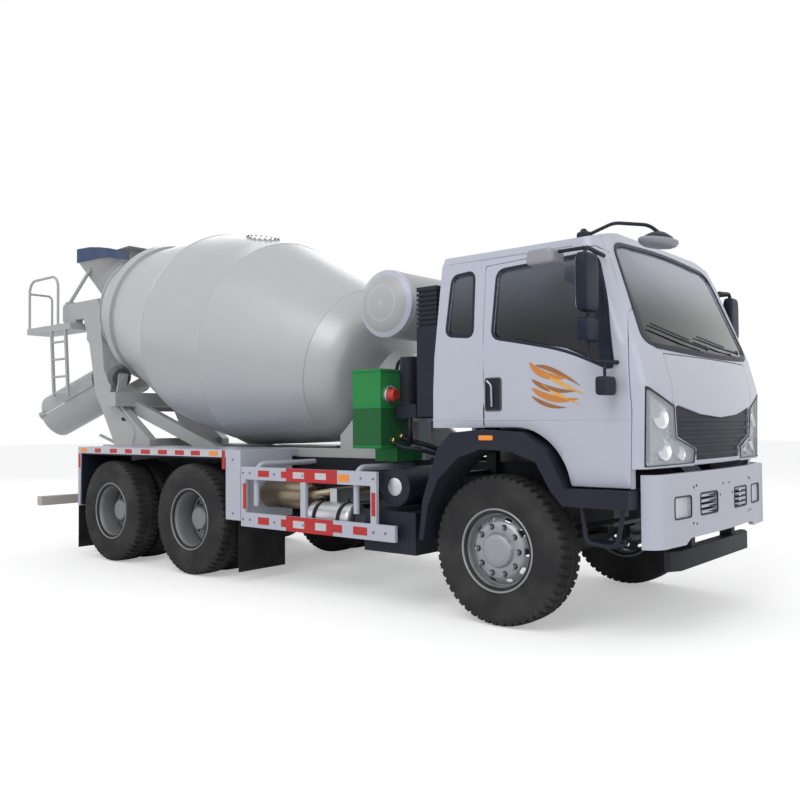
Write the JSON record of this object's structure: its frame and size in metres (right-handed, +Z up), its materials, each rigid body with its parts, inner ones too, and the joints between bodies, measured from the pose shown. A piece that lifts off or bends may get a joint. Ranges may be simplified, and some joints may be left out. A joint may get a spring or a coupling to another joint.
{
  "type": "concrete mixer truck",
  "caption": "Three-axle concrete mixer truck with a white tilting cab, silver tapered drum, rear hopper, folding chute and ladder platform.",
  "frame": {"origin": "on the ground, under the middle of the overall length and width", "axes": "+X forward towards the cab, +Y to the truck's left, +Z up"},
  "size_m": [8.9, 2.8, 3.67],
  "materials": {
    "cab_white": "gloss",
    "frame_black": "satin",
    "trim_black": "satin",
    "flap_rubber": "matte",
    "cast_grey": "matte",
    "mixer_grey": "satin",
    "drum_silver": "satin",
    "lip_blue": "matte",
    "tank_alloy": "satin",
    "exhaust_bronze": "satin",
    "tank_green": "satin",
    "cab_glass": "clear, lightly tinted",
    "lamp_lens": "clear",
    "seat_fabric": "woven",
    "tyre_black": "matte",
    "rim_silver": "satin"
  },
  "bodies": {
    "chassis": {"frame_rails": "frame_black", "front_axle_beam": "frame_black", "leaf_springs": "frame_black", "rear_axles": "frame_black", "engine_block": "cast_grey", "front_bumper": "cab_white", "front_fenders": "trim_black", "rear_fenders": "cab_white", "mud_flaps": "flap_rubber", "side_guards": "cab_white", "underrun_bars": "frame_black", "air_tanks": "tank_alloy", "silencer": "exhaust_bronze", "fuel_tank": "tank_alloy", "battery_box": "trim_black", "air_cleaner": "trim_black", "mixer_subframe": "mixer_grey", "drum_reducer": "mixer_grey", "rear_pedestal": "mixer_grey", "hopper": "mixer_grey", "hopper_lip": "lip_blue", "rear_platform": "mixer_grey", "water_tank": "cab_white", "hydraulic_tank": "tank_green", "oil_filter": "trim_black", "chassis_lamps": "lamp_lens"},
    "cab": {"cab_shell": "cab_white", "cab_glazing": "cab_glass", "cab_interior": "seat_fabric", "headlamps": "lamp_lens", "roof_mirror": "trim_black", "intake_snorkel": "trim_black"},
    "front_flap": {"front_panel": "cab_white", "grille": "trim_black"},
    "door_left": {"door_left": "cab_white", "door_glass_left": "cab_glass", "mirrors_left": "trim_black"},
    "door_right": {"door_right": "cab_white", "door_glass_right": "cab_glass", "mirrors_right": "trim_black"},
    "knuckle_left": {"knuckle_left": "frame_black"},
    "knuckle_right": {"knuckle_right": "frame_black"},
    "drum": {"drum_shell": "drum_silver"},
    "roller_left": {"roller_left": "cast_grey"},
    "roller_right": {"roller_right": "cast_grey"},
    "chute_post": {"chute_bracket": "mixer_grey"},
    "chute": {"chute_main": "mixer_grey"},
    "chute_end": {"chute_extension": "mixer_grey"},
    "wheel_front_left": {"tyre_front_left": "tyre_black", "rim_front_left": "rim_silver"},
    "wheel_front_right": {"tyre_front_right": "tyre_black", "rim_front_right": "rim_silver"},
    "wheel_middle_left": {"tyre_middle_left": "tyre_black", "rim_middle_left": "rim_silver"},
    "wheel_middle_right": {"tyre_middle_right": "tyre_black", "rim_middle_right": "rim_silver"},
    "wheel_rear_left": {"tyre_rear_left": "tyre_black", "rim_rear_left": "rim_silver"},
    "wheel_rear_right": {"tyre_rear_right": "tyre_black", "rim_rear_right": "rim_silver"}
  },
  "joints": [
    {"name": "cab_tilt", "type": "hinge", "parent": "chassis", "child": "cab", "pos_m": [4.315, 0, 0.8], "axis": [0, 1, 0], "range_deg": [0, 45]},
    {"name": "front_flap_lift", "type": "hinge", "parent": "cab", "child": "front_flap", "pos_m": [4.36, 0, 1.87], "axis": [0, -1, 0], "range_deg": [0, 80]},
    {"name": "door_left_swing", "type": "hinge", "parent": "cab", "child": "door_left", "pos_m": [4.28, 1.128, 1.5], "axis": [0, 0, -1], "range_deg": [0, 70]},
    {"name": "door_right_swing", "type": "hinge", "parent": "cab", "child": "door_right", "pos_m": [4.28, -1.128, 1.5], "axis": [0, 0, 1], "range_deg": [0, 70]},
    {"name": "steer_left", "type": "hinge", "parent": "chassis", "child": "knuckle_left", "pos_m": [3.26, 0.85, 0.525], "axis": [0, 0, 1], "range_deg": [-35, 35]},
    {"name": "steer_right", "type": "hinge", "parent": "chassis", "child": "knuckle_right", "pos_m": [3.26, -0.85, 0.525], "axis": [0, 0, 1], "range_deg": [-35, 35]},
    {"name": "wheel_spin_front_left", "type": "hinge", "parent": "knuckle_left", "child": "wheel_front_left", "pos_m": [3.26, 1, 0.525], "axis": [0, 1, 0], "continuous": true},
    {"name": "wheel_spin_middle_left", "type": "hinge", "parent": "chassis", "child": "wheel_middle_left", "pos_m": [-0.14, 0.91, 0.525], "axis": [0, 1, 0], "continuous": true},
    {"name": "wheel_spin_rear_left", "type": "hinge", "parent": "chassis", "child": "wheel_rear_left", "pos_m": [-1.49, 0.91, 0.525], "axis": [0, 1, 0], "continuous": true},
    {"name": "wheel_spin_front_right", "type": "hinge", "parent": "knuckle_right", "child": "wheel_front_right", "pos_m": [3.26, -1, 0.525], "axis": [0, 1, 0], "continuous": true},
    {"name": "wheel_spin_middle_right", "type": "hinge", "parent": "chassis", "child": "wheel_middle_right", "pos_m": [-0.14, -0.91, 0.525], "axis": [0, 1, 0], "continuous": true},
    {"name": "wheel_spin_rear_right", "type": "hinge", "parent": "chassis", "child": "wheel_rear_right", "pos_m": [-1.49, -0.91, 0.525], "axis": [0, 1, 0], "continuous": true},
    {"name": "drum_spin", "type": "hinge", "parent": "chassis", "child": "drum", "pos_m": [1.439, 0, 1.848], "axis": [-0.9706, 0, 0.2407], "continuous": true},
    {"name": "roller_spin_left", "type": "hinge", "parent": "chassis", "child": "roller_left", "pos_m": [-2.35378, 0.56739, 1.98412], "axis": [-0.9706, 0, 0.2407], "continuous": true},
    {"name": "roller_spin_right", "type": "hinge", "parent": "chassis", "child": "roller_right", "pos_m": [-2.35378, -0.56739, 1.98412], "axis": [-0.9706, 0, 0.2407], "continuous": true},
    {"name": "chute_swivel", "type": "hinge", "parent": "chassis", "child": "chute_post", "pos_m": [-3.07, 0, 1.64], "axis": [0, 0, 1], "range_deg": [-85, 0]},
    {"name": "chute_tilt", "type": "hinge", "parent": "chute_post", "child": "chute", "pos_m": [-3.07, 0, 1.64], "axis": [0.342, -0.9397, 0], "range_deg": [-8, 12]},
    {"name": "chute_end_fold", "type": "hinge", "parent": "chute", "child": "chute_end", "pos_m": [-4.13601, -0.388, 1.5493], "axis": [0.342, -0.9397, 0], "range_deg": [0, 180]}
  ],
  "couplings": [
    {"joint": "steer_right", "follows": "steer_left", "ratio": 1},
    {"joint": "roller_spin_left", "follows": "drum_spin", "ratio": -6.72},
    {"joint": "roller_spin_right", "follows": "drum_spin", "ratio": -6.72}
  ]
}
